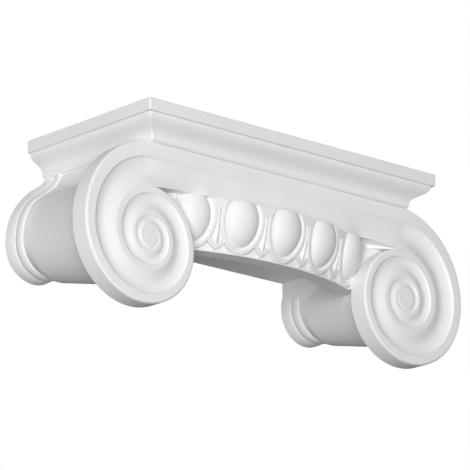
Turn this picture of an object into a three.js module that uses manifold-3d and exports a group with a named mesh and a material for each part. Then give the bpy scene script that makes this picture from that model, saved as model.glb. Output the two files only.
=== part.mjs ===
// Ionic half capital for an engaged column, cast in one piece and painted white.
// Millimetres, +Z up, +X along the front, -Y out from the wall. The origin is on the wall face.
// The sizes and functions below count heights down from the top of the abacus.

import * as THREE from 'three';
import { mergeVertices } from 'three/addons/utils/BufferGeometryUtils.js';
import Module from 'manifold-3d';

const wasm = await Module();
wasm.setup();

// Abacus: a flat fascia, a small step, a cyma reversa and a foot fillet
const abacusWidth = 320;
const abacusDepth = 157;
const fasciaHeight = 10.5;
const stepInset = 2.8;
const stepHeight = 0.9;
const cymaInset = 13.3;
const cymaHeight = 15.2;
const footInset = 1.5;
const footHeight = 2.9;
const footSlopeShare = 0.2;
const cymaHandleShare = 0.53;

// Volutes: two scrolls in one plane, and the canalis that joins them
const voluteSetback = 2.4;
const plateThickness = 17;
const scrollRootDepth = 32;
const scrollRootOffset = 32;
const voluteReach = 80;
const turnShrink = 0.53;
const eyeRadius = 9.3;
const filletShare = 0.14;
const canalisFillet = 12.5;
const canalisFilletTurns = 0.25;
const canalisDepth = 1.8;
const canalisFlattening = 0.5;
const canalisBlend = 0.25;
const canalisSlope = 1.3;
const canalisBacking = 4;
const canalisSkin = 1.5;
const channelDepthShare = 0.24;
const channelLip = 0.3;
const channelTail = 0.94;

// Echinus: a flaring band over the column, open behind
const seatRadius = 229.5;
const seatWidth = 14.6;
const echinusSetback = 1.7;
const echinusHeight = 42.8;
const echinusRise = 3.8;
const echinusFlare = 8.3;
const groundSink = 2.6;
const edgeFilletHeight = 1.5;
const echinusHalfAngle = THREE.MathUtils.degToRad(31);

// Ornament on the echinus: eggs in shells, with a dart and an arrowhead between each two
const eggCount = 5;
const eggHalfWidth = 15;
const eggHalfHeight = 21.5;
const eggBulge = 10;
const rimGap = 0.5;
const rimWidth = 5.2;
const rimHeight = 3.2;
const dartGap = 3.2;
const bridgeHeight = 8;
const bridgeThickness = 2.8;
const dartTopWidth = 3.6;
const dartFootWidth = 8;
const dartHeight = 3.4;
const dartEdgeHeight = 0.4;
const arrowHalfWidth = 9;
const arrowDrop = 6.5;
const arrowThickness = 4.2;
const arrowHeight = 3;

// Bolsters: the rolls behind the volutes, narrowing to two bands at the wall
const bolsterOffset = 9;
const bolsterDrift = 3.5;
const bandRadius = 29.3;
const bandFootDepth = 122.8;
const bolsterFall = 28.5;
const bolsterFlare = 21;
const flarePower = 1.35;
const innerShare = 0.96;
const outerShare = 1.07;
const backBandWidth = 11;
const frontBandWidth = 9.5;
const grooveWidth = 0.8;
const bandRise = 2;
const waistDip = 1.2;
const shoulderReachShare = 0.7;
const shoulderDropShare = 0.9;
const sideHandleShare = 0.8;

// Recess behind the echinus, open to the wall side and below. Its side walls stand inside the bands.
const recessLap = 1.7;
const coreHeight = 41;

// The middle of the wall face lies this far below the top of the abacus
const wallMountDepth = 35;

// Fineness of the faceted surfaces, and how far joined solids run into each other
const turnSteps = 32;
const channelSteps = 4;
const canalisSteps = 10;
const joinOverlap = 1;

const abacusInset = stepInset + cymaInset + footInset;
const abacusHeight = fasciaHeight + stepHeight + cymaHeight + footHeight;
const faceY = -(abacusDepth - abacusInset - voluteSetback);
const plateBackY = faceY + plateThickness;
const canalisBackY = plateBackY + canalisBacking;
const eyeX = abacusWidth / 2 - abacusInset;
const eyeZ = -(abacusHeight + voluteReach) + joinOverlap / 2;
const innerReach = voluteReach * (1 - filletShare);
const channelTurns = Math.log((eyeRadius + channelTail) / innerReach) / Math.log(turnShrink);
const canalisFootZ = eyeZ + spiralRadius(1);
const echinusTopZ = canalisFootZ + echinusRise;
const echinusFootZ = echinusTopZ - echinusHeight;
const echinusRadius = seatRadius + seatWidth;
const columnY = faceY + echinusSetback + echinusRadius;
const recessHalfWidth = eyeX + bolsterOffset - innerShare * bandRadius + recessLap;
const ceilingZ = -(abacusHeight + coreHeight);

// Solids

// Turns a closed three.js geometry into a solid that can be joined and cut.
function solidFrom(geometry) {
  geometry.deleteAttribute('normal');
  geometry.deleteAttribute('uv');
  const merged = mergeVertices(geometry, 1e-4);
  const index = merged.index.array;
  const corners = [];
  for (let i = 0; i < index.length; i += 3) {
    const [a, b, c] = index.slice(i, i + 3);
    if (a !== b && b !== c && c !== a) corners.push(a, b, c);
  }
  const vertProperties = new Float32Array(merged.attributes.position.array);
  return new wasm.Manifold(new wasm.Mesh({ numProp: 3, vertProperties, triVerts: new Uint32Array(corners) }));
}

// Triangulates a flat ring of points. The triangles turn the same way as the ring.
function fillRing(ring) {
  const normal = new THREE.Vector3();
  ring.forEach((point, i) => normal.add(point.clone().cross(ring[(i + 1) % ring.length])));
  const [nx, ny, nz] = normal.toArray().map(Math.abs);
  const flat = ring.map(({ x, y, z }) => {
    if (nx > ny && nx > nz) return new THREE.Vector2(y, z);
    return ny > nz ? new THREE.Vector2(x, z) : new THREE.Vector2(x, y);
  });
  const turn = Math.sign(THREE.ShapeUtils.area(flat));
  return THREE.ShapeUtils.triangulateShape(flat, []).map((corners) => {
    const sameWay = Math.sign(THREE.ShapeUtils.area(corners.map((i) => flat[i]))) === turn;
    return sameWay ? corners : corners.toReversed();
  });
}

// Joins rings of equally many points into a solid with flat ends.
function loft(rings) {
  const size = rings[0].length;
  const last = (rings.length - 1) * size;
  const faces = [];
  for (let start = 0; start < last; start += size) {
    for (let i = 0; i < size; i++) {
      const next = (i + 1) % size;
      faces.push(start + i, start + next, start + size + next);
      faces.push(start + i, start + size + next, start + size + i);
    }
  }
  fillRing(rings[0]).forEach(([a, b, c]) => faces.push(a, c, b));
  fillRing(rings.at(-1)).forEach((corners) => faces.push(...corners.map((corner) => last + corner)));

  const points = rings.flat();
  let volume = 0;
  for (let i = 0; i < faces.length; i += 3) {
    const [a, b, c] = faces.slice(i, i + 3).map((corner) => points[corner]);
    volume += a.dot(b.clone().cross(c));
  }
  const geometry = new THREE.BufferGeometry().setFromPoints(points);
  geometry.setIndex(volume < 0 ? faces.toReversed() : faces);
  return solidFrom(geometry);
}

function joined(solids) {
  return solids.reduce((whole, solid) => whole.add(solid));
}

// Joins a solid, given as rings, to its mirror image on the other side of the middle.
function loftBothSides(rings) {
  const mirrored = rings.map((ring) => ring.map(({ x, y, z }) => new THREE.Vector3(-x, y, z)));
  return joined([loft(rings), loft(mirrored)]);
}

// Lists evenly spaced numbers from start to end, both included.
function spread(start, end, steps) {
  return Array.from({ length: steps + 1 }, (_, k) => start + (end - start) * k / steps);
}

// Abacus

function abacus() {
  const cymaTop = new THREE.Vector2(stepInset, -(fasciaHeight + stepHeight));
  const cymaEnd = new THREE.Vector2(stepInset + cymaInset, cymaTop.y - cymaHeight);
  const handle = new THREE.Vector2(0, cymaHandleShare * cymaHeight);
  const cyma = new THREE.CubicBezierCurve(
    cymaTop, cymaTop.clone().sub(handle), cymaEnd.clone().add(handle), cymaEnd);
  const profile = [
    new THREE.Vector2(0, 0),
    new THREE.Vector2(0, -fasciaHeight),
    ...cyma.getPoints(10),
    new THREE.Vector2(abacusInset, cymaEnd.y - footSlopeShare * footHeight),
    new THREE.Vector2(abacusInset, -abacusHeight),
  ];
  return loft(profile.map(({ x: inset, y: z }) => {
    const side = abacusWidth / 2 - inset;
    const front = -(abacusDepth - inset);
    return [[-side, 0], [side, 0], [side, front], [-side, front]].map(([x, y]) => new THREE.Vector3(x, y, z));
  }));
}

// Volutes and canalis

// Gives the radius of the scroll's outer edge, a number of turns from its top.
function spiralRadius(turns) {
  return voluteReach * turnShrink ** turns;
}

// Places a point of the left scroll's face, or of the canalis where the turns are below zero.
function facePoint(turns, radius, depth) {
  const angle = Math.PI / 2 + 2 * Math.PI * Math.max(0, turns);
  const along = Math.max(0, -turns) * eyeX;
  return new THREE.Vector3(
    -eyeX + along + radius * Math.cos(angle), faceY + depth, eyeZ + radius * Math.sin(angle));
}

// Gives how far the canalis floor falls back, to meet the echinus where that curves away behind it.
function canalisFall(turns, radius, top) {
  if (turns >= 0) return 0;
  const x = eyeX * (1 + turns);
  const echinusTopY = columnY - Math.sqrt(groundRadius(echinusTopZ) ** 2 - x ** 2);
  const deepest = canalisBackY - faceY - canalisDepth - canalisSkin;
  const share = THREE.MathUtils.clamp((top - radius) / (top - spiralRadius(1) - echinusRise), 0, 1);
  return THREE.MathUtils.clamp(echinusTopY - faceY, 0, deepest)
    * THREE.MathUtils.smoothstep(-turns, 0, canalisBlend) * share ** canalisSlope;
}

// Outlines one cut across the channel. It is hollow in the scrolls and flatter in the canalis.
function channelRing(turns) {
  const scrolled = Math.max(0, turns);
  const outer = spiralRadius(scrolled);
  const canalisShare = Math.max(0, 1 - scrolled / canalisFilletTurns);
  const extraFillet = (canalisFillet - filletShare * voluteReach) * canalisShare;
  const top = outer - filletShare * outer - extraFillet;
  const foot = Math.max(spiralRadius(scrolled + 1), eyeRadius);
  const flatness = Math.min(1, Math.max(0, -turns)) ** canalisFlattening;
  const low = THREE.MathUtils.lerp(foot + channelLip, foot - joinOverlap, flatness);
  const hollow = channelDepthShare * (top - foot);
  const floor = spread(0, 1, channelSteps).map((share) => {
    const radius = THREE.MathUtils.lerp(top, low, share);
    const scrollDepth = hollow * 4 * share * (1 - share);
    const canalisFloor = canalisDepth * (1 - (1 - share) ** 3);
    const depth = THREE.MathUtils.lerp(scrollDepth, canalisFloor, flatness);
    return facePoint(turns, radius, depth + canalisFall(turns, radius, top));
  });
  return [facePoint(turns, top, -joinOverlap), ...floor, facePoint(turns, low, -joinOverlap)];
}

function channelCut() {
  const scrollSteps = Math.round(channelTurns * turnSteps);
  const turns = [...spread(-1, 0, canalisSteps), ...spread(0, channelTurns, scrollSteps).slice(1)];
  return loftBothSides(turns.map(channelRing));
}

// Outlines the left scroll at a depth behind its face.
function scrollRing(depth) {
  return spread(0, 1, turnSteps).map((turns) => facePoint(turns, spiralRadius(turns), depth));
}

// Makes the plate of both scrolls and the canalis, and sinks the channel into it.
function volutes() {
  const scrolls = loftBothSides([scrollRing(0), scrollRing(plateThickness)]);
  const topZ = eyeZ + voluteReach;
  const canalis = new THREE.BoxGeometry(2 * eyeX, canalisBackY - faceY, topZ - canalisFootZ);
  canalis.translate(0, (faceY + canalisBackY) / 2, (topZ + canalisFootZ) / 2);
  return scrolls.add(solidFrom(canalis)).subtract(channelCut()).add(scrollRoots());
}

// Fills the corner between each scroll and the end of the echinus that runs in behind it.
function scrollRoots() {
  const height = canalisFootZ + joinOverlap - echinusFootZ;
  const corners = new THREE.BoxGeometry(2 * (eyeX - scrollRootOffset), scrollRootDepth, height);
  corners.translate(0, faceY + scrollRootDepth / 2, echinusFootZ + height / 2);
  return loftBothSides([scrollRing(plateThickness - joinOverlap), scrollRing(scrollRootDepth)])
    .intersect(solidFrom(corners));
}

// Echinus

// Gives the radius of the sunk ground behind the ornament at a height.
function groundRadius(z) {
  const rise = THREE.MathUtils.clamp((z - echinusFootZ) / echinusHeight, 0, 1);
  return echinusRadius - groundSink + echinusFlare * (1 - (1 - rise) ** 2);
}

// Places a point on the curved band: an angle round the column, a height and a radius.
function bandPoint(angle, z, radius) {
  return new THREE.Vector3(radius * Math.sin(angle), columnY - radius * Math.cos(angle), z);
}

// Makes a solid of one section, as pairs of radius and height, swept round the column.
function bandSolid(section, steps) {
  return loft(spread(-echinusHalfAngle, echinusHalfAngle, steps).map(
    (angle) => section.map(([radius, z]) => bandPoint(angle, z, radius))));
}

function echinusGround() {
  const edgeTop = echinusFootZ + edgeFilletHeight;
  const rearRadius = columnY - canalisBackY;
  return bandSolid([
    [rearRadius, ceilingZ],
    [seatRadius, ceilingZ],
    [seatRadius, echinusFootZ],
    [echinusRadius, echinusFootZ],
    [echinusRadius, edgeTop],
    ...spread(edgeTop, echinusTopZ, 6).map((z) => [groundRadius(z), z]),
    [rearRadius, echinusTopZ],
  ], 30);
}

const shellHalfWidth = eggHalfWidth + rimGap + rimWidth;
const shellHalfHeight = eggHalfHeight + rimGap + rimWidth;
const eggZ = echinusFootZ + rimGap + shellHalfHeight;
const eggSpacing = 2 * shellHalfWidth + dartGap;
const spacingRadius = echinusRadius + echinusFlare / 2;
const bridgeZ = echinusTopZ - bridgeHeight;

// Lays a point of the ornament on the band: along it from a middle angle, up it and out from its ground.
function ornamentPoint(middle, along, z, out) {
  return bandPoint(middle + along / spacingRadius, z, groundRadius(z) + out);
}

// Bends a flat geometry, drawn in along and up with its depth outwards, on to the band.
function bentSolid(geometry, middle) {
  const place = geometry.attributes.position;
  for (let i = 0; i < place.count; i++) {
    const point = ornamentPoint(middle, place.getX(i), place.getY(i), place.getZ(i));
    place.setXYZ(i, point.x, point.y, point.z);
  }
  return solidFrom(geometry);
}

function bentPlate(outline, thickness, middle) {
  const shape = new THREE.Shape(outline.map(([along, z]) => new THREE.Vector2(along, z)));
  const plate = new THREE.ExtrudeGeometry(shape, { depth: thickness + joinOverlap, bevelEnabled: false });
  return bentSolid(plate.translate(0, 0, -joinOverlap), middle);
}

function egg(middle) {
  const ball = new THREE.SphereGeometry(1, 18, 10).rotateX(Math.PI / 2);
  ball.scale(eggHalfWidth, eggHalfHeight, eggBulge).translate(0, eggZ, 0);
  return bentSolid(ball, middle);
}

// Makes the raised rim that runs under an egg and up its sides.
function shell(middle) {
  const section = [[0, -joinOverlap], [0.1, 0.6], [0.35, 1], [0.85, 0.94], [1, 0.3], [1, -joinOverlap]];
  return loft(spread(-0.25 * Math.PI, 1.25 * Math.PI, 22).map((angle) => section.map(([share, rise]) => {
    const width = eggHalfWidth + rimGap + rimWidth * share;
    const height = eggHalfHeight + rimGap + rimWidth * share;
    const out = rise < 0 ? rise : rise * rimHeight;
    return ornamentPoint(middle, width * Math.cos(angle), eggZ - height * Math.sin(angle), out);
  })));
}

// Gives half the gap between two shells at a height.
function halfGap(z) {
  const lift = (z - eggZ) / shellHalfHeight;
  return eggSpacing / 2 - shellHalfWidth * Math.sqrt(Math.max(0, 1 - lift ** 2));
}

// Makes the flat bridge that joins two shells at their tops.
function bridge(middle) {
  const topZ = echinusTopZ + joinOverlap;
  const [topHalf, footHalf] = [topZ, bridgeZ].map((z) => halfGap(z) + rimWidth / 2);
  return bentPlate(
    [[-topHalf, topZ], [-footHalf, bridgeZ], [footHalf, bridgeZ], [topHalf, topZ]], bridgeThickness, middle);
}

// Makes the ridged dart under a bridge, with its arrowhead.
function dart(middle) {
  const tipZ = echinusFootZ + edgeFilletHeight + rimGap;
  const innerZ = tipZ + arrowThickness;
  const arrow = bentPlate([
    [0, tipZ], [arrowHalfWidth, tipZ + arrowDrop], [arrowHalfWidth, innerZ + arrowDrop],
    [0, innerZ], [-arrowHalfWidth, innerZ + arrowDrop], [-arrowHalfWidth, tipZ + arrowDrop],
  ], arrowHeight, middle);

  const stem = loft([[bridgeZ + joinOverlap, dartTopWidth], [innerZ, dartFootWidth]].map(([z, width]) => [
    ornamentPoint(middle, -width / 2, z, -joinOverlap),
    ornamentPoint(middle, -width / 2, z, dartEdgeHeight),
    ornamentPoint(middle, 0, z, dartHeight),
    ornamentPoint(middle, width / 2, z, dartEdgeHeight),
    ornamentPoint(middle, width / 2, z, -joinOverlap),
  ]));
  return arrow.add(stem);
}

function echinus() {
  const middleOf = (place) => place * eggSpacing / spacingRadius;
  const places = Array.from({ length: eggCount }, (_, k) => k - (eggCount - 1) / 2);
  const eggs = places.flatMap((place) => [egg(middleOf(place)), shell(middleOf(place))]);
  const gaps = places.slice(1).map((place) => place - 0.5);
  const darts = gaps.map((gap) => dart(middleOf(gap)));
  const bridges = [gaps[0] - 1, ...gaps, gaps.at(-1) + 1].map((gap) => bridge(middleOf(gap)));
  const outside = echinusRadius + echinusFlare + 2 * eggBulge;
  const limits = bandSolid([
    [seatRadius, echinusFootZ], [outside, echinusFootZ],
    [outside, echinusTopZ], [seatRadius, echinusTopZ],
  ], 12);
  return echinusGround().add(joined([...eggs, ...darts, ...bridges]).intersect(limits));
}

// Bolsters

// Outlines the right bolster at a distance from the wall, up to the underside of the abacus.
function bolsterRing(y, offset) {
  const bandsY = -(backBandWidth + grooveWidth + frontBandWidth);
  const along = Math.max(0, (bandsY - y) / (bandsY - plateBackY));
  const radius = bandRadius + offset + bolsterFlare * along ** flarePower;
  const centreX = eyeX + bolsterOffset - bolsterDrift * along;
  const centreZ = -(bandFootDepth + offset + bolsterFall * along) + radius;
  const topZ = -abacusHeight + joinOverlap;
  const [inner, outer] = [innerShare * radius, outerShare * radius];

  const shoulderTop = new THREE.Vector2(eyeX - 2 * joinOverlap + offset, topZ);
  const side = new THREE.Vector2(centreX + outer, centreZ);
  const shoulder = new THREE.CubicBezierCurve(
    shoulderTop,
    new THREE.Vector2(shoulderTop.x + shoulderReachShare * bandRadius, topZ - shoulderDropShare * bandRadius),
    new THREE.Vector2(side.x, centreZ + sideHandleShare * radius),
    side);
  const round = (start, end, steps, width) => spread(start, end, steps).map(
    (angle) => new THREE.Vector2(centreX + width * Math.cos(angle), centreZ - radius * Math.sin(angle)));
  const wallAngle = Math.acos(THREE.MathUtils.clamp((centreX - recessHalfWidth) / inner, -1, 1));
  const outline = [
    ...shoulder.getPoints(8),
    ...round(0, Math.PI / 2, 6, outer).slice(1),
    ...round(Math.PI / 2, Math.PI + wallAngle, 9, inner).slice(1),
    new THREE.Vector2(recessHalfWidth, topZ),
  ];
  return outline.map(({ x, y: z }) => new THREE.Vector3(x, y, z));
}

function bolsters() {
  const rings = spread(0, Math.PI / 2, 4).map(
    (angle) => bolsterRing(-backBandWidth * Math.sin(angle), -bandRise * (1 - Math.cos(angle))));
  const frontBandY = -(backBandWidth + grooveWidth + frontBandWidth / 2);
  spread(-Math.PI / 2, Math.PI / 2, 6).forEach((angle) => {
    const dip = angle < 0 ? bandRise : waistDip;
    rings.push(bolsterRing(frontBandY - frontBandWidth / 2 * Math.sin(angle), -dip * (1 - Math.cos(angle))));
  });
  spread(frontBandY - frontBandWidth / 2, plateBackY - joinOverlap, 8).slice(1).forEach((y) => {
    rings.push(bolsterRing(y, -waistDip));
  });
  return loftBothSides(rings);
}

// Makes the solid middle under the abacus, between the bolsters and behind the canalis.
function core() {
  const halfWidth = recessHalfWidth + 5 * joinOverlap;
  const depth = -canalisBackY + joinOverlap;
  const box = new THREE.BoxGeometry(2 * halfWidth, depth, coreHeight + joinOverlap);
  return solidFrom(box.translate(0, -depth / 2, ceilingZ + (coreHeight + joinOverlap) / 2));
}

// The whole casting

const casting = joined([abacus(), core(), volutes(), bolsters(), echinus()]);
const { vertProperties, triVerts } = casting.getMesh();
const surface = new THREE.BufferGeometry();
surface.setAttribute('position', new THREE.BufferAttribute(vertProperties, 3));
surface.setIndex(Array.from(triVerts));
surface.computeVertexNormals();

const paint = new THREE.MeshStandardMaterial({ color: 0xf2f2f0, roughness: 0.55, metalness: 0 });
const capital = new THREE.Mesh(surface, paint);
capital.name = 'capital';
capital.position.z = wallMountDepth;

const group = new THREE.Group();
group.add(capital);

export default group;
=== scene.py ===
import math

import bmesh
import bpy
import numpy as np
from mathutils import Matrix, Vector


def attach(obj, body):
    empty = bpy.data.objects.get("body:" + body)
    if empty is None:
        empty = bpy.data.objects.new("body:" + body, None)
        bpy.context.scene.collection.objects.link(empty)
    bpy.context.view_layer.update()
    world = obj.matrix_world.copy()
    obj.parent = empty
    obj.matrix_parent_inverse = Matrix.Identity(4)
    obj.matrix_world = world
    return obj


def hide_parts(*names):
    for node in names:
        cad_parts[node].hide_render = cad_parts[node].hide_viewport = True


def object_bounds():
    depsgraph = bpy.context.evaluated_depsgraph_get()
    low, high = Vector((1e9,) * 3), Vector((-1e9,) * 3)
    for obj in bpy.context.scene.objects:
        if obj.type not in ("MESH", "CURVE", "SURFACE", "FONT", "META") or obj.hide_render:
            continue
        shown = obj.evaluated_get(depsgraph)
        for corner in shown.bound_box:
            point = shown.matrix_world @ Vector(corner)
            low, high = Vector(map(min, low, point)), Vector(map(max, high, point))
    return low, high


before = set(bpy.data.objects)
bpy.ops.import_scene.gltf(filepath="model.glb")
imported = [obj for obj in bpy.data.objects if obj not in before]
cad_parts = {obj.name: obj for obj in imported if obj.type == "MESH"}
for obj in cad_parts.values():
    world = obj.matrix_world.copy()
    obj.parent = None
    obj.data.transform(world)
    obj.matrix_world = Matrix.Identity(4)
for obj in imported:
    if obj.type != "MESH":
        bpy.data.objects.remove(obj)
cad_low, cad_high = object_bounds()

# Sizes are in millimetres where nothing else is said. Heights count down from the top of the abacus,
# and an OVERLAP is how far one solid runs into the next before they are joined.
MM = 0.001
TOP = cad_high.z / MM
OVERLAP = 1.0
WELD_METRES = 1e-7
ROUNDING_LIMIT = 0.45
SHARP_ANGLE = math.radians(32)

# Abacus: a flat fascia, a small step, a cyma reversa and a small cove
ABACUS_DEPTH = -cad_low.y / MM
ABACUS_HALF_WIDTH = 160.0
FASCIA_HEIGHT = 10.5
STEP_INSET = 2.8
STEP_HEIGHT = 0.4
CYMA_INSET = 13.3
CYMA_HEIGHT = 15.7
FOOT_INSET = 1.5
FOOT_HEIGHT = 2.9
ABACUS_INSET = STEP_INSET + CYMA_INSET + FOOT_INSET
ABACUS_HEIGHT = FASCIA_HEIGHT + STEP_HEIGHT + CYMA_HEIGHT + FOOT_HEIGHT
COVE_REACH = 2.8
COVE_DROP = 0.3
CYMA_HANDLE_SHARE = 0.53
ARRIS = 1.5
STEP_ARRIS = 0.5
ARRIS_STEPS = 6
CORNER_STEPS = 5
CYMA_STEPS = 32
COVE_STEPS = 8

# Volutes: two scrolls in one plane, and the canalis that joins them. Turns count up from 0 at the top
# of a scroll, and down from 0 along the canalis to -1 at its middle.
FACE_SETBACK = 2.4
FACE_Y = -(ABACUS_DEPTH - ABACUS_INSET - FACE_SETBACK)
PLATE_THICKNESS = 17.0
PLATE_BACK_Y = FACE_Y + PLATE_THICKNESS
VOLUTE_REACH = 80.0
TURN_SHRINK = 0.53
INNER_SHRINK = 0.145
EYE_RADIUS = 8.2
FACE_SQUEEZE = 0.963
EYE_X = ABACUS_HALF_WIDTH - ABACUS_INSET
EYE_Z = -(ABACUS_HEIGHT + VOLUTE_REACH) + OVERLAP / 2
FILLET_SHARE = 0.14
CANALIS_FILLET = 12.5
CANALIS_FILLET_TURNS = 0.25
CANALIS_DEPTH = 1.8
CANALIS_FLATTENING = 0.5
CANALIS_BLEND = 0.4
CANALIS_SLOPE = 2.0
CANALIS_FALL = 4.0
CANALIS_SKIN = 1.5
CANALIS_EDGE = 0.004  # share of the floor that the step down to the echinus takes
CANALIS_FOOT_TURNS = 0.28
CANALIS_CURVE = 3
CANALIS_BACKING = 4.0
CANALIS_BACK_Y = PLATE_BACK_Y + CANALIS_BACKING
CHANNEL_DEPTH_SHARE = 0.2
CHANNEL_LIP = 0.3
CHANNEL_TAIL = 0.94
CHANNEL_STEP_SHARE = 0.35
CHANNEL_STEP_WIDTH = 0.06
CHANNEL_LOW_SHARE = 0.42
PLATE_ROUND = 2.2
PLATE_ROUND_GROWTH = 12  # full after a twelfth of a turn
SCROLL_ROOT_DEPTH = 32.0
SCROLL_ROOT_OFFSET = 32.0
TURN_STEPS = 96
CANALIS_STEPS = 60
CHANNEL_STEPS = 16
PLATE_ROUND_STEPS = 4

# Echinus: a flaring band over the column, open behind
SEAT_RADIUS = 229.5
SEAT_WIDTH = 14.6
ECHINUS_RADIUS = SEAT_RADIUS + SEAT_WIDTH
ECHINUS_HEIGHT = 42.8
ECHINUS_RISE = 3.8
ECHINUS_FLARE = 10.8
GROUND_SINK = 2.6
EDGE_FILLET_HEIGHT = 1.5
ECHINUS_HALF_ANGLE = math.radians(31)
ECHINUS_SETBACK = 1.7
COLUMN_Y = FACE_Y + ECHINUS_SETBACK + ECHINUS_RADIUS
BAND_STEPS = 120
GROUND_STEPS = 20

# Ornament on the echinus
EGG_COUNT = 5
EGG_HALF_WIDTH = 15.0
EGG_HALF_HEIGHT = 21.5
EGG_BULGE = 8.8
EGG_SEGMENTS = 48
EGG_RINGS = 32
RIM_GAP = 0.5
RIM_WIDTH = 5.2
RIM_HEIGHT = 3.2
# The rim's section from the egg outwards, as shares of its width and height
RIM_SECTION = (
    (0, 0.1), (0.36, 0.9), (0.42, 0.97), (0.5, 1), (0.86, 1), (0.94, 0.94), (1, 0.8),
)
RIM_END_ANGLE = 0.25 * math.pi
RIM_STEPS = 72
DART_GAP = 3.2
BRIDGE_HEIGHT = 8.0
BRIDGE_THICKNESS = 3.2
BRIDGE_ROUND = 0.2
DART_TOP_WIDTH = 3.6
DART_FOOT_WIDTH = 8.0
DART_HEIGHT = 3.4
DART_EDGE_HEIGHT = 0.4
DART_RIDGE = 0.3
DART_STEPS = 8
ARROW_HALF_WIDTH = 9.0
ARROW_DROP = 6.5
ARROW_THICKNESS = 4.2
ARROW_HEIGHT = 3.0
ARROW_ROUND = 0.4
ROUND_SHOULDER_SHARE = 0.3

# Bolsters: the rolls behind the volutes, narrowing to two bands at the wall
BOLSTER_OFFSET = 9.0
BOLSTER_DRIFT = 3.5
BAND_RADIUS = 29.3
BAND_FOOT_DEPTH = 122.8
BOLSTER_FALL = 26.0
BOLSTER_FLARE = 21.0
FLARE_POWER = 1.35
INNER_SHARE = 0.96
OUTER_SHARE = 1.04
BACK_BAND_WIDTH = 11.0
FRONT_BAND_WIDTH = 9.5
GROOVE_WIDTH = 0.8
BANDS_Y = -(BACK_BAND_WIDTH + GROOVE_WIDTH + FRONT_BAND_WIDTH)
BAND_RISE = 2.0
WAIST_DIP = 1.6
BODY_DROP = 4.0
BODY_DROP_SHARE = 0.12
# The shoulder's fold, as its place from the shoulder's top and its slope: first at the wall,
# then past the bands
WALL_FOLD = (18.9, -17.2, 0.7, -0.72)
BODY_FOLD = (18.2, -22.3, 0.88, -0.47)
FOLD_HANDLES = (7.0, 13.0)
SHOULDER_HANDLE = (3.0, -9.0)
SIDE_HANDLE_SHARE = 0.88
SHOULDER_STEPS = 16
SIDE_STEPS = 20
OUTER_STEPS = 28
INNER_STEPS = 40
BACK_BAND_STEPS = 10
FRONT_BAND_STEPS = 16
BODY_STEPS = 32

# Recess behind the echinus
CORE_HEIGHT = 41.0
CORE_LAP = 5.0
CEILING_Z = -(ABACUS_HEIGHT + CORE_HEIGHT)
RECESS_LAP = 1.7
RECESS_HALF_WIDTH = EYE_X + BOLSTER_OFFSET - INNER_SHARE * BAND_RADIUS + RECESS_LAP

# Paint: each noise as its scale and detail
SPECULAR = 0.4
TINT_NOISE = (18, 3)
TINT_POSITIONS = (0.35, 0.65)
TINTS = ((0.865, 0.865, 0.86, 1), (0.89, 0.89, 0.888, 1))
GLOSS_NOISE = (60, 2)
GLOSS_RANGE = (0.5, 0.62)
GRAIN_NOISE = (2400, 2)
GRAIN_STRENGTH = 0.06
GRAIN_DEPTH = 0.2 * MM

# Floor and surroundings, in metres
FLOOR_HALF_WIDTH = 14.0
FLOOR_HEIGHT = -3.6
FLOOR_COLOUR = (0.9, 0.9, 0.9, 1)
FLOOR_ROUGHNESS = 0.8
FLOOR_GLOW = 0.55
WHITE = (1, 1, 1, 1)
HORIZON_BLEND = 0.25
LIGHT_BELOW = 0.18
LIGHT_ABOVE = 0.34
BACKDROP_LIGHT = 1.0

# Camera, fitted to the photograph, whose frame is 470 pixels square. Its distances are in metres.
# The target is a point 80 mm below the abacus top and as far from the wall.
CAMERA_AZIMUTH = math.radians(41.5)
CAMERA_ELEVATION = math.radians(16.2)
CAMERA_DISTANCE = 3.38
CLIP_NEAR, CLIP_FAR = 0.05, 60
SENSOR_WIDTH = 36
FRAME_PIXELS = 470
FOCAL_PIXELS = 4040.8
TARGET_DEPTH = 80
TARGET_DROP = 80
TARGET_PIXEL = (235.7, 248.7)


def spiral_radius(turns):
    """The radius of the scroll's outer edge, a number of turns from its top."""
    return VOLUTE_REACH * TURN_SHRINK ** (turns + INNER_SHRINK * max(0, turns - 1))


def turns_at(radius):
    """The number of turns, more than one, at which the scroll's outer edge has a radius."""
    even_turns = math.log(radius / VOLUTE_REACH) / math.log(TURN_SHRINK)
    return (even_turns + INNER_SHRINK) / (1 + INNER_SHRINK)


CHANNEL_TURNS = turns_at((EYE_RADIUS + CHANNEL_TAIL) / (1 - FILLET_SHARE))
CANALIS_FOOT_Z = EYE_Z + spiral_radius(1)
ECHINUS_TOP_Z = CANALIS_FOOT_Z + ECHINUS_RISE
ECHINUS_FOOT_Z = ECHINUS_TOP_Z - ECHINUS_HEIGHT
BRIDGE_Z = ECHINUS_TOP_Z - BRIDGE_HEIGHT
SHELL_HALF_WIDTH = EGG_HALF_WIDTH + RIM_GAP + RIM_WIDTH
SHELL_HALF_HEIGHT = EGG_HALF_HEIGHT + RIM_GAP + RIM_WIDTH
EGG_Z = ECHINUS_FOOT_Z + RIM_GAP + SHELL_HALF_HEIGHT
EGG_SPACING = 2 * SHELL_HALF_WIDTH + DART_GAP
SPACING_RADIUS = ECHINUS_RADIUS + ECHINUS_FLARE / 2


# Mesh helpers


def make_solid(name, points, faces):
    """Makes a closed mesh from points in millimetres, with its faces pointing out."""
    mesh = bpy.data.meshes.new(name)
    placed = [(x * MM, y * MM, (z + TOP) * MM) for x, y, z in points]
    mesh.from_pydata(placed, [], faces)
    work = bmesh.new()
    work.from_mesh(mesh)
    bmesh.ops.remove_doubles(work, verts=work.verts, dist=WELD_METRES)
    bmesh.ops.recalc_face_normals(work, faces=work.faces)
    bmesh.ops.triangulate(work, faces=work.faces, ngon_method="EAR_CLIP")
    work.to_mesh(mesh)
    work.free()
    piece = bpy.data.objects.new(name, mesh)
    bpy.context.scene.collection.objects.link(piece)
    return piece


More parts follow.
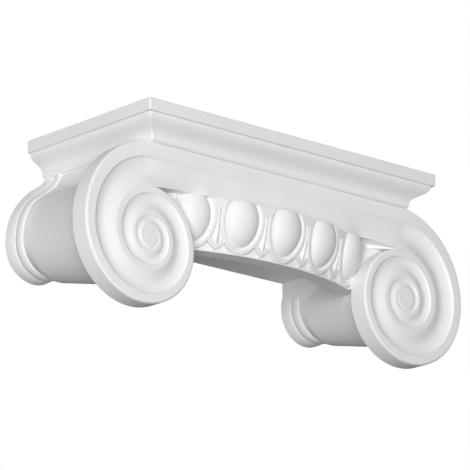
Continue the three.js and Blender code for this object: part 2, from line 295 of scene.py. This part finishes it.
def loft(name, rings):
    """Joins rings of equally many points into a solid with flat ends."""
    size = len(rings[0])
    last = (len(rings) - 1) * size
    faces = []
    for start in range(0, last, size):
        for i in range(size):
            after = (i + 1) % size
            faces.append((start + i, start + after, start + size + after, start + size + i))
    faces.append(tuple(range(size)))
    faces.append(tuple(range(last, last + size)))
    return make_solid(name, [point for ring in rings for point in ring], faces)


def loft_both_sides(name, rings):
    """Lofts the rings as they are, and once more mirrored on the other side."""
    mirrored = [[(-x, y, z) for x, y, z in ring] for ring in rings]
    return [loft(name, rings), loft(name + "_mirrored", mirrored)]


def apply_modifiers(piece):
    """Replaces a piece's mesh by the one that its modifiers make."""
    bpy.context.view_layer.update()
    graph = bpy.context.evaluated_depsgraph_get()
    finished = bpy.data.meshes.new_from_object(piece.evaluated_get(graph), depsgraph=graph)
    piece.modifiers.clear()
    piece.data = finished


def combine(base, others, operation):
    """Joins other solids to the base, or cuts them from it, and removes them."""
    for other in others:
        cut = base.modifiers.new(operation.lower(), "BOOLEAN")
        cut.operation = operation
        cut.solver = "MANIFOLD"
        cut.object = other
    apply_modifiers(base)
    for other in others:
        bpy.data.objects.remove(other)
    return base


def spread(start, end, steps):
    """Evenly spaced values from the start to the end."""
    return [start + (end - start) * k / steps for k in range(steps + 1)]


def bezier(a, b, c, d, steps):
    """Points of a cubic curve in a plane."""
    points = []
    for t in spread(0, 1, steps):
        weights = ((1 - t) ** 3, 3 * t * (1 - t) ** 2, 3 * t * t * (1 - t), t**3)
        points.append(tuple(sum(w * p[i] for w, p in zip(weights, (a, b, c, d))) for i in (0, 1)))
    return points


def mix(a, b, share):
    """The value a share of the way from a to b."""
    return a + (b - a) * share


def smooth(share):
    """Eases a share in and out between 0 and 1."""
    share = min(1, max(0, share))
    return share * share * (3 - 2 * share)


def softened(outline, radius, steps=4):
    """Rounds the inner corners of an open outline by a short curve at each point."""
    points = [outline[0]]
    for before, corner, after in zip(outline, outline[1:], outline[2:]):
        before, corner, after = Vector(before), Vector(corner), Vector(after)
        back, ahead = before - corner, after - corner
        reach = min(radius, ROUNDING_LIMIT * back.length, ROUNDING_LIMIT * ahead.length)
        start, end = corner + back.normalized() * reach, corner + ahead.normalized() * reach
        for t in spread(0, 1, steps):
            point = start * (1 - t) ** 2 + corner * 2 * t * (1 - t) + end * t * t
            points.append(tuple(point))
    points.append(outline[-1])
    return points


# Abacus


def abacus_profile():
    """The moulding from the top down, as pairs of inset and height."""
    cyma_top = (STEP_INSET, -(FASCIA_HEIGHT + STEP_HEIGHT))
    cyma_end = (STEP_INSET + CYMA_INSET, cyma_top[1] - CYMA_HEIGHT)
    handle = CYMA_HANDLE_SHARE * CYMA_HEIGHT
    cyma = bezier(
        cyma_top, (cyma_top[0], cyma_top[1] - handle),
        (cyma_end[0], cyma_end[1] + handle), cyma_end, CYMA_STEPS)
    upper = softened([(2 * ARRIS, 0), (0, 0), (0, -FASCIA_HEIGHT / 2)], ARRIS, ARRIS_STEPS)[:-1]
    lower = softened([(0, -FASCIA_HEIGHT / 2), (0, -FASCIA_HEIGHT), cyma[0]], STEP_ARRIS)[:-1]
    cove_end = (ABACUS_INSET + COVE_REACH, -ABACUS_HEIGHT - COVE_DROP)
    cove = bezier(
        cyma_end, (cyma_end[0], cove_end[1] + COVE_DROP),
        (ABACUS_INSET, cove_end[1]), cove_end, COVE_STEPS)
    return upper + lower + cyma + cove[1:]


def make_abacus():
    """The moulding round three sides, with rounded corners. It stops square at the wall."""
    rings = []
    for inset, z in abacus_profile():
        side, front = ABACUS_HALF_WIDTH - min(inset, ABACUS_INSET), -(ABACUS_DEPTH - inset)
        corner = [
            (side - ARRIS * (1 - math.cos(a)), front + ARRIS * (1 - math.sin(a)))
            for a in spread(0, math.pi / 2, CORNER_STEPS)
        ]
        outline = [(side, 0), *corner]
        outline += [(-x, y) for x, y in reversed(outline)]
        rings.append([(x, y, z) for x, y in outline])
    return loft("abacus", rings)


# Volutes and canalis


def face_point(turns, radius, depth):
    """A point of the left scroll's face, or of the canalis where the turns are below zero."""
    angle = math.pi / 2 + 2 * math.pi * max(0, turns)
    along = max(0, -turns) * EYE_X
    rise = math.sin(angle)
    squeeze = FACE_SQUEEZE if rise < 0 else 1
    x = -EYE_X + along + FACE_SQUEEZE * radius * math.cos(angle)
    return (x, FACE_Y + depth, EYE_Z + squeeze * radius * rise)


def canalis_fall(turns, share):
    """How far the canalis floor falls back towards the echinus.

    The share runs down the floor. Past 1, below the echinus top, the floor falls right to the echinus.
    """
    x = EYE_X * (1 + min(0, turns))
    bridge_radius = ground_radius(ECHINUS_TOP_Z) + BRIDGE_THICKNESS
    echinus_top_y = COLUMN_Y - math.sqrt(bridge_radius**2 - x**2)
    gap = max(0, echinus_top_y - FACE_Y - CANALIS_DEPTH)
    if share > 1:
        deepest = CANALIS_BACK_Y - FACE_Y - CANALIS_DEPTH - CANALIS_SKIN
        return min(deepest, gap + RIM_HEIGHT) * smooth(-turns / CANALIS_FOOT_TURNS)
    fall = CANALIS_FALL * (1 - math.exp(-((gap / CANALIS_FALL) ** 2)))
    return fall * smooth(-turns / CANALIS_BLEND) * share**CANALIS_SLOPE


def scroll_hollow(share):
    """The depth across the channel: a step inside the fillet, the hollow and a soft rise."""
    if share < CHANNEL_LOW_SHARE:
        step = CHANNEL_STEP_SHARE * min(1, share / CHANNEL_STEP_WIDTH)
        return mix(step, 1, math.sin(0.5 * math.pi * share / CHANNEL_LOW_SHARE))
    rise = (share - CHANNEL_LOW_SHARE) / (1 - CHANNEL_LOW_SHARE)
    return 0.5 * math.cos(0.5 * math.pi * rise) + 0.25 * (1 + math.cos(math.pi * rise))


def channel_ring(turns):
    """One cut across the channel. It is hollow in the scrolls and flatter in the canalis."""
    scrolled = max(0, turns)
    outer = spiral_radius(scrolled)
    canalis_share = max(0, 1 - scrolled / CANALIS_FILLET_TURNS)
    extra_fillet = (CANALIS_FILLET - FILLET_SHARE * VOLUTE_REACH) * canalis_share
    top = outer - FILLET_SHARE * outer - extra_fillet
    foot = max(spiral_radius(scrolled + 1), EYE_RADIUS)
    flatness = min(1, max(0, -turns)) ** CANALIS_FLATTENING
    low = mix(foot + CHANNEL_LIP, foot - OVERLAP, flatness)
    hollow = CHANNEL_DEPTH_SHARE * (top - foot)
    echinus_share = (top - foot - ECHINUS_RISE) / (top - low)
    edge = mix(1, echinus_share, smooth(-turns / CANALIS_FOOT_TURNS)) - CANALIS_EDGE
    ring = [face_point(turns, top, -OVERLAP)]
    for share in spread(0, edge, CHANNEL_STEPS) + [edge + CANALIS_EDGE, 1]:
        canalis_floor = CANALIS_DEPTH * (1 - (1 - share) ** CANALIS_CURVE)
        depth = mix(hollow * scroll_hollow(share), canalis_floor, flatness)
        depth += canalis_fall(turns, share / edge)
        ring.append(face_point(turns, mix(top, low, share), depth))
    ring.append(face_point(turns, low, -OVERLAP))
    return ring


def make_scroll_discs():
    """The plates of the two scrolls. Their rounded front edges fade out towards the canalis."""
    edge = [(0, PLATE_THICKNESS)]
    for a in spread(0, math.pi / 2, PLATE_ROUND_STEPS):
        edge.append((PLATE_ROUND * (1 - math.cos(a)), PLATE_ROUND * (1 - math.sin(a))))
    rings = []
    for inset, depth in edge:
        ring = []
        for turns in spread(0, 1, TURN_STEPS):
            rounding = min(1, PLATE_ROUND_GROWTH * turns, PLATE_ROUND_GROWTH * (1 - turns))
            ring.append(face_point(turns, spiral_radius(turns) - inset * rounding, depth))
        rings.append(ring)
    return loft_both_sides("scroll", rings)


def make_volutes():
    """The two scrolls and the bar between them, with the channel cut into their face."""
    top_z = EYE_Z + VOLUTE_REACH
    bar = [(-EYE_X, top_z), (-EYE_X, CANALIS_FOOT_Z), (EYE_X, CANALIS_FOOT_Z), (EYE_X, top_z)]
    plate = loft("volutes", [[(x, y, z) for x, z in bar] for y in (FACE_Y, CANALIS_BACK_Y)])
    combine(plate, make_scroll_discs(), "UNION")
    scroll_steps = round(CHANNEL_TURNS * TURN_STEPS)
    turns = spread(-1, 0, CANALIS_STEPS) + spread(0, CHANNEL_TURNS, scroll_steps)[1:]
    combine(plate, loft_both_sides("channel", [channel_ring(t) for t in turns]), "DIFFERENCE")
    return combine(plate, make_scroll_roots(), "UNION")


def make_scroll_roots():
    """Fills the corner between each scroll and the end of the echinus that runs in behind it."""
    side, top_z = EYE_X - SCROLL_ROOT_OFFSET, CANALIS_FOOT_Z + OVERLAP
    corners = [(-side, ECHINUS_FOOT_Z), (side, ECHINUS_FOOT_Z), (side, top_z), (-side, top_z)]
    roots = loft_both_sides("root", [
        [face_point(turns, spiral_radius(turns), depth) for turns in spread(0, 1, TURN_STEPS)]
        for depth in (PLATE_THICKNESS - OVERLAP, SCROLL_ROOT_DEPTH)
    ])
    for root in roots:
        box = loft("corners", [
            [(x, y, z) for x, z in corners] for y in (FACE_Y, FACE_Y + SCROLL_ROOT_DEPTH)
        ])
        combine(root, [box], "INTERSECT")
    return roots


# Echinus


def ground_radius(z):
    """The radius of the sunk ground behind the ornament at a height."""
    rise = min(1, max(0, (z - ECHINUS_FOOT_Z) / ECHINUS_HEIGHT))
    return ECHINUS_RADIUS - GROUND_SINK + ECHINUS_FLARE * (1 - (1 - rise) ** 2)


def band_point(angle, z, radius):
    """A point round the column's centre line, where angle 0 is out in front."""
    return (radius * math.sin(angle), COLUMN_Y - radius * math.cos(angle), z)


def band_solid(name, section):
    """Sweeps one section, as pairs of radius and height, round the column."""
    return loft(name, [
        [band_point(angle, z, radius) for radius, z in section]
        for angle in spread(-ECHINUS_HALF_ANGLE, ECHINUS_HALF_ANGLE, BAND_STEPS)
    ])


def make_ground():
    """The flaring band that carries the ornament, with the fillet along its lower edge."""
    edge_top = ECHINUS_FOOT_Z + EDGE_FILLET_HEIGHT
    rear_radius = COLUMN_Y - CANALIS_BACK_Y
    section = [(rear_radius, CEILING_Z), (SEAT_RADIUS, CEILING_Z), (SEAT_RADIUS, ECHINUS_FOOT_Z)]
    section += [(ECHINUS_RADIUS, ECHINUS_FOOT_Z), (ECHINUS_RADIUS, edge_top)]
    section += [(ground_radius(z), z) for z in spread(edge_top, ECHINUS_TOP_Z, GROUND_STEPS)]
    section.append((rear_radius, ECHINUS_TOP_Z))
    return band_solid("ground", section)


def ornament_point(middle, along, z, out):
    """A point laid on the band: along it from a middle angle, up it and out from its ground."""
    return band_point(middle + along / SPACING_RADIUS, z, ground_radius(z) + out)


def bent_plate(name, outline, thickness, middle, rounding):
    """Lays a flat plate with a rounded front edge on the band."""
    outline = np.array(outline)
    centre = np.mean(outline, axis=0)
    shoulder = ROUND_SHOULDER_SHARE * rounding
    edge = [
        (-OVERLAP, 0), (thickness - rounding, 0),
        (thickness - shoulder, shoulder), (thickness, rounding),
    ]
    rings = []
    for out, inset in edge:
        ring = []
        for point in outline:
            away = point - centre
            along, z = point - away / np.linalg.norm(away) * inset
            ring.append(ornament_point(middle, along, z, out))
        rings.append(ring)
    return loft(name, rings)


def make_egg(middle):
    """A ball drawn out into an egg and laid half sunk on the band."""
    work = bmesh.new()
    bmesh.ops.create_uvsphere(work, u_segments=EGG_SEGMENTS, v_segments=EGG_RINGS, radius=1)
    for vert in work.verts:
        x, y, z = vert.co
        height = EGG_Z + y * EGG_HALF_HEIGHT
        vert.co = ornament_point(middle, x * EGG_HALF_WIDTH, height, z * EGG_BULGE)
    points = [tuple(vert.co) for vert in work.verts]
    faces = [tuple(v.index for v in face.verts) for face in work.faces]
    work.free()
    return make_solid("egg", points, faces)


def make_shell(middle):
    """The rim that runs round the sides and the foot of an egg."""
    section = [(0, -OVERLAP)]
    section += [(share, rise * RIM_HEIGHT) for share, rise in RIM_SECTION]
    section.append((1, -OVERLAP))
    rings = []
    for angle in spread(-RIM_END_ANGLE, math.pi + RIM_END_ANGLE, RIM_STEPS):
        ring = []
        for share, out in section:
            width = EGG_HALF_WIDTH + RIM_GAP + RIM_WIDTH * share
            height = EGG_HALF_HEIGHT + RIM_GAP + RIM_WIDTH * share
            along, z = width * math.cos(angle), EGG_Z - height * math.sin(angle)
            ring.append(ornament_point(middle, along, z, out))
        rings.append(ring)
    return loft("shell", rings)


def half_gap(z):
    """Half the gap between two shells at a height."""
    lift = (z - EGG_Z) / SHELL_HALF_HEIGHT
    return EGG_SPACING / 2 - SHELL_HALF_WIDTH * math.sqrt(max(0, 1 - lift**2))


def make_bridge(middle):
    """The flat bridge that joins two shells at their tops."""
    top_z = ECHINUS_TOP_Z + OVERLAP
    top_half, foot_half = (half_gap(z) + RIM_WIDTH / 2 for z in (top_z, BRIDGE_Z))
    outline = [(-top_half, top_z), (-foot_half, BRIDGE_Z), (foot_half, BRIDGE_Z), (top_half, top_z)]
    return bent_plate("bridge", outline, BRIDGE_THICKNESS, middle, BRIDGE_ROUND)


def make_dart(middle):
    """The ridged dart under a bridge, with its arrowhead."""
    tip_z = ECHINUS_FOOT_Z + EDGE_FILLET_HEIGHT + RIM_GAP
    inner_z = tip_z + ARROW_THICKNESS
    wing, outer_wing_z, inner_wing_z = ARROW_HALF_WIDTH, tip_z + ARROW_DROP, inner_z + ARROW_DROP
    outline = [
        (0, tip_z), (wing, outer_wing_z), (wing, inner_wing_z),
        (0, inner_z), (-wing, inner_wing_z), (-wing, outer_wing_z),
    ]
    arrow = bent_plate("arrow", outline, ARROW_HEIGHT, middle, ARROW_ROUND)
    rings = []
    for share in spread(0, 1, DART_STEPS):
        z = mix(BRIDGE_Z + OVERLAP, inner_z, share)
        half = mix(DART_TOP_WIDTH, DART_FOOT_WIDTH, share**2) / 2
        section = [
            (-half, -OVERLAP), (-half, DART_EDGE_HEIGHT), (-DART_RIDGE, DART_HEIGHT),
            (DART_RIDGE, DART_HEIGHT), (half, DART_EDGE_HEIGHT), (half, -OVERLAP),
        ]
        rings.append([ornament_point(middle, along, z, out) for along, out in section])
    return [arrow, loft("stem", rings)]


def make_echinus():
    """The band with its eggs, shells, bridges and the darts between the eggs."""
    step = EGG_SPACING / SPACING_RADIUS
    middles = [step * (k - (EGG_COUNT - 1) / 2) for k in range(EGG_COUNT)]
    ornament = [make_egg(middle) for middle in middles]
    ornament += [make_shell(middle) for middle in middles]
    for middle in middles[1:]:
        ornament += make_dart(middle - step / 2)
    ornament += [make_bridge(middle - step / 2) for middle in middles + [middles[-1] + step]]
    outside = ECHINUS_RADIUS + ECHINUS_FLARE + 2 * EGG_BULGE
    limits = band_solid("limits", [
        (SEAT_RADIUS, ECHINUS_FOOT_Z), (outside, ECHINUS_FOOT_Z),
        (outside, ECHINUS_TOP_Z), (SEAT_RADIUS, ECHINUS_TOP_Z),
    ])
    carved = combine(ornament[0], ornament[1:], "UNION")
    combine(carved, [limits], "INTERSECT")
    return combine(make_ground(), [carved], "UNION")


# Bolsters


def shoulder_outline(share, shoulder_x, side, radius):
    """The bolster's outline from the abacus over the fold to its side, in x and z."""
    top_z = -ABACUS_HEIGHT + OVERLAP
    fold_x, fold_z, slope_x, slope_z = (mix(a, b, share) for a, b in zip(WALL_FOLD, BODY_FOLD))
    before, fold, after = (
        (shoulder_x + fold_x + reach * slope_x, top_z + fold_z + reach * slope_z)
        for reach in (-FOLD_HANDLES[0], 0, FOLD_HANDLES[1])
    )
    below_top = (shoulder_x + SHOULDER_HANDLE[0], top_z + SHOULDER_HANDLE[1])
    above_side = (side[0], side[1] + SIDE_HANDLE_SHARE * radius)
    upper = bezier((shoulder_x, top_z), below_top, before, fold, SHOULDER_STEPS)
    return upper + bezier(fold, after, above_side, side, SIDE_STEPS)[1:]


def arc_after(start, end, centre, width, height, steps):
    """An arc that falls from the right, without its first point."""
    return [
        (centre[0] + width * math.cos(a), centre[1] - height * math.sin(a))
        for a in spread(start, end, steps)
    ][1:]


def bolster_ring(y, offset):
    """The right bolster's outline at a distance from the wall, up under the abacus."""
    along = max(0, (BANDS_Y - y) / (BANDS_Y - PLATE_BACK_Y))
    radius = BAND_RADIUS + offset + BOLSTER_FLARE * along**FLARE_POWER
    inner, outer = INNER_SHARE * radius, OUTER_SHARE * radius
    drop = BOLSTER_FALL * along + BODY_DROP * (smooth(along / BODY_DROP_SHARE) - along)
    centre_x = EYE_X + BOLSTER_OFFSET - BOLSTER_DRIFT * along
    centre_z = -(BAND_FOOT_DEPTH + offset + drop) + radius
    centre, side = (centre_x, centre_z), (centre_x + outer, centre_z)
    wall_angle = math.acos(min(1, max(-1, (centre_x - RECESS_HALF_WIDTH) / inner)))
    outline = shoulder_outline(min(1, y / BANDS_Y), EYE_X - 2 * OVERLAP + offset, side, radius)
    outline += arc_after(0, math.pi / 2, centre, outer, radius, OUTER_STEPS)
    outline += arc_after(math.pi / 2, math.pi + wall_angle, centre, inner, radius, INNER_STEPS)
    outline.append((RECESS_HALF_WIDTH, -ABACUS_HEIGHT + OVERLAP))
    return [(x, y, z) for x, z in outline]


def make_bolsters():
    """Both bolsters, as rings over the two rounded bands and along the body to the volute."""
    rings = []
    for a in spread(0, math.pi / 2, BACK_BAND_STEPS):
        rings.append(bolster_ring(-BACK_BAND_WIDTH * math.sin(a), -BAND_RISE * (1 - math.cos(a))))
    half_band = FRONT_BAND_WIDTH / 2
    front_band_y = -(BACK_BAND_WIDTH + GROOVE_WIDTH + half_band)
    for a in spread(-math.pi / 2, math.pi / 2, FRONT_BAND_STEPS):
        dip = BAND_RISE if a < 0 else WAIST_DIP
        rings.append(bolster_ring(front_band_y - half_band * math.sin(a), -dip * (1 - math.cos(a))))
    for y in spread(front_band_y - half_band, PLATE_BACK_Y - OVERLAP, BODY_STEPS)[1:]:
        rings.append(bolster_ring(y, -WAIST_DIP))
    return loft_both_sides("bolster", rings)


def make_core():
    """The block between the bolsters, whose underside is the ceiling of the recess."""
    side, front_y = RECESS_HALF_WIDTH + CORE_LAP, CANALIS_BACK_Y - OVERLAP
    low, high = CEILING_Z, -ABACUS_HEIGHT + OVERLAP
    outline = [(-side, 0), (side, 0), (side, front_y), (-side, front_y)]
    return loft("core", [[(x, y, z) for x, y in outline] for z in (low, high)])


# Paint


def make_paint():
    """Smooth matt white primer: fine grain, a faint unevenness and slightly uneven gloss."""
    paint = bpy.data.materials.new("white_primer")
    paint.use_nodes = True
    nodes, links = paint.node_tree.nodes, paint.node_tree.links
    shader = nodes["Principled BSDF"]
    shader.inputs["Specular IOR Level"].default_value = SPECULAR
    place = nodes.new("ShaderNodeTexCoord")

    def noise(scale, detail):
        node = nodes.new("ShaderNodeTexNoise")
        node.inputs["Scale"].default_value = scale
        node.inputs["Detail"].default_value = detail
        links.new(place.outputs["Object"], node.inputs["Vector"])
        return node.outputs["Fac"]

    tint = nodes.new("ShaderNodeValToRGB")
    for element, position, colour in zip(tint.color_ramp.elements, TINT_POSITIONS, TINTS):
        element.position = position
        element.color = colour
    links.new(noise(*TINT_NOISE), tint.inputs["Fac"])
    links.new(tint.outputs["Color"], shader.inputs["Base Color"])

    gloss = nodes.new("ShaderNodeMapRange")
    gloss.inputs["To Min"].default_value = GLOSS_RANGE[0]
    gloss.inputs["To Max"].default_value = GLOSS_RANGE[1]
    links.new(noise(*GLOSS_NOISE), gloss.inputs["Value"])
    links.new(gloss.outputs["Result"], shader.inputs["Roughness"])

    grain = nodes.new("ShaderNodeBump")
    grain.inputs["Strength"].default_value = GRAIN_STRENGTH
    grain.inputs["Distance"].default_value = GRAIN_DEPTH
    links.new(noise(*GRAIN_NOISE), grain.inputs["Height"])
    links.new(grain.outputs["Normal"], shader.inputs["Normal"])
    return paint


def make_capital():
    """Joins all the parts into the one cast piece and stands it in for the solid."""
    parts = [make_core(), make_volutes(), *make_bolsters(), make_echinus()]
    capital = combine(make_abacus(), parts, "UNION")
    capital.name = "capital_cast"
    capital.data.name = "capital_cast"
    capital.data.materials.clear()
    capital.data.materials.append(make_paint())
    capital.data.shade_smooth()
    capital.data.set_sharp_from_angle(angle=SHARP_ANGLE)
    weighted = capital.modifiers.new("weighted", "WEIGHTED_NORMAL")
    weighted.keep_sharp = True
    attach(capital, "root")
    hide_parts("capital")


# Floor, light and camera


def make_floor():
    """A plain pale floor, far enough below to leave the view from below and the light free."""
    mesh = bpy.data.meshes.new("floor")
    half = FLOOR_HALF_WIDTH
    corners = [(-half, -half), (half, -half), (half, half), (-half, half)]
    mesh.from_pydata([(x, y, FLOOR_HEIGHT) for x, y in corners], [], [(0, 1, 2, 3)])
    floor = bpy.data.objects.new("floor", mesh)
    bpy.context.scene.collection.objects.link(floor)
    paint = bpy.data.materials.new("pale_floor")
    paint.use_nodes = True
    shader = paint.node_tree.nodes["Principled BSDF"]
    shader.inputs["Base Color"].default_value = FLOOR_COLOUR
    shader.inputs["Roughness"].default_value = FLOOR_ROUGHNESS
    shader.inputs["Emission Color"].default_value = WHITE
    shader.inputs["Emission Strength"].default_value = FLOOR_GLOW
    mesh.materials.append(paint)
    floor.visible_diffuse = False
    floor.visible_glossy = False


def make_world():
    """Weak light all round, a little brighter above the horizon, and white behind the object."""
    world = bpy.data.worlds.new("studio")
    bpy.context.scene.world = world
    world.use_nodes = True
    nodes, links = world.node_tree.nodes, world.node_tree.links
    place = nodes.new("ShaderNodeTexCoord")
    split = nodes.new("ShaderNodeSeparateXYZ")
    ramp = nodes.new("ShaderNodeMapRange")
    ramp.interpolation_type = "SMOOTHSTEP"
    ramp.inputs["From Min"].default_value = -HORIZON_BLEND
    ramp.inputs["From Max"].default_value = HORIZON_BLEND
    ramp.inputs["To Min"].default_value = LIGHT_BELOW
    ramp.inputs["To Max"].default_value = LIGHT_ABOVE
    path = nodes.new("ShaderNodeLightPath")
    backdrop = nodes.new("ShaderNodeMix")
    backdrop.inputs["B"].default_value = BACKDROP_LIGHT
    links.new(place.outputs["Generated"], split.inputs["Vector"])
    links.new(split.outputs["Z"], ramp.inputs["Value"])
    links.new(path.outputs["Is Camera Ray"], backdrop.inputs["Factor"])
    links.new(ramp.outputs["Result"], backdrop.inputs["A"])
    nodes["Background"].inputs["Color"].default_value = WHITE
    links.new(backdrop.outputs["Result"], nodes["Background"].inputs["Strength"])


def look_along(azimuth, elevation):
    """A direction in radians: azimuth 0 looks along +Y, and a right angle looks along +X."""
    level = math.cos(elevation)
    return Vector((math.sin(azimuth) * level, math.cos(azimuth) * level, math.sin(elevation)))


def make_lamp(name, azimuth, elevation, distance, size, energy):
    """A broad disc of light aimed at the origin, from in front at azimuth 0 and from the left at 90."""
    light = bpy.data.lights.new(name, "AREA")
    light.shape = "DISK"
    light.size = size
    light.energy = energy
    lamp = bpy.data.objects.new(name, light)
    lamp.location = -distance * look_along(math.radians(azimuth), -math.radians(elevation))
    lamp.rotation_mode = "QUATERNION"
    lamp.rotation_quaternion = (-lamp.location).to_track_quat("-Z", "Y")
    bpy.context.scene.collection.objects.link(lamp)


def make_lamps():
    """A key near the camera and a weaker fill from behind on the right. Sizes are in metres."""
    make_lamp("key", azimuth=44, elevation=-11, distance=3.6, size=2.0, energy=104)
    make_lamp("fill", azimuth=-130, elevation=25, distance=3.6, size=2.4, energy=75)


def make_camera():
    """Looks up at the capital from below and to the left of its front."""
    target = Vector((0, -TARGET_DEPTH * MM, (TOP - TARGET_DROP) * MM))
    forward = look_along(CAMERA_AZIMUTH, CAMERA_ELEVATION)
    right = Vector((math.cos(CAMERA_AZIMUTH), -math.sin(CAMERA_AZIMUTH), 0))
    up = right.cross(forward)
    middle = FRAME_PIXELS / 2
    aim = forward * FOCAL_PIXELS
    aim += right * (middle - TARGET_PIXEL[0]) - up * (middle - TARGET_PIXEL[1])
    data = bpy.data.cameras.new("camera")
    data.sensor_width = SENSOR_WIDTH
    data.lens = SENSOR_WIDTH * FOCAL_PIXELS / FRAME_PIXELS
    data.clip_start, data.clip_end = CLIP_NEAR, CLIP_FAR
    camera = bpy.data.objects.new("camera", data)
    camera.location = target - forward * CAMERA_DISTANCE
    camera.rotation_mode = "QUATERNION"
    camera.rotation_quaternion = aim.to_track_quat("-Z", "Y")
    bpy.context.scene.collection.objects.link(camera)
    bpy.context.scene.camera = camera


make_camera()
make_world()
make_lamps()
make_floor()
make_capital()
bpy.context.scene.view_settings.view_transform = "Standard"
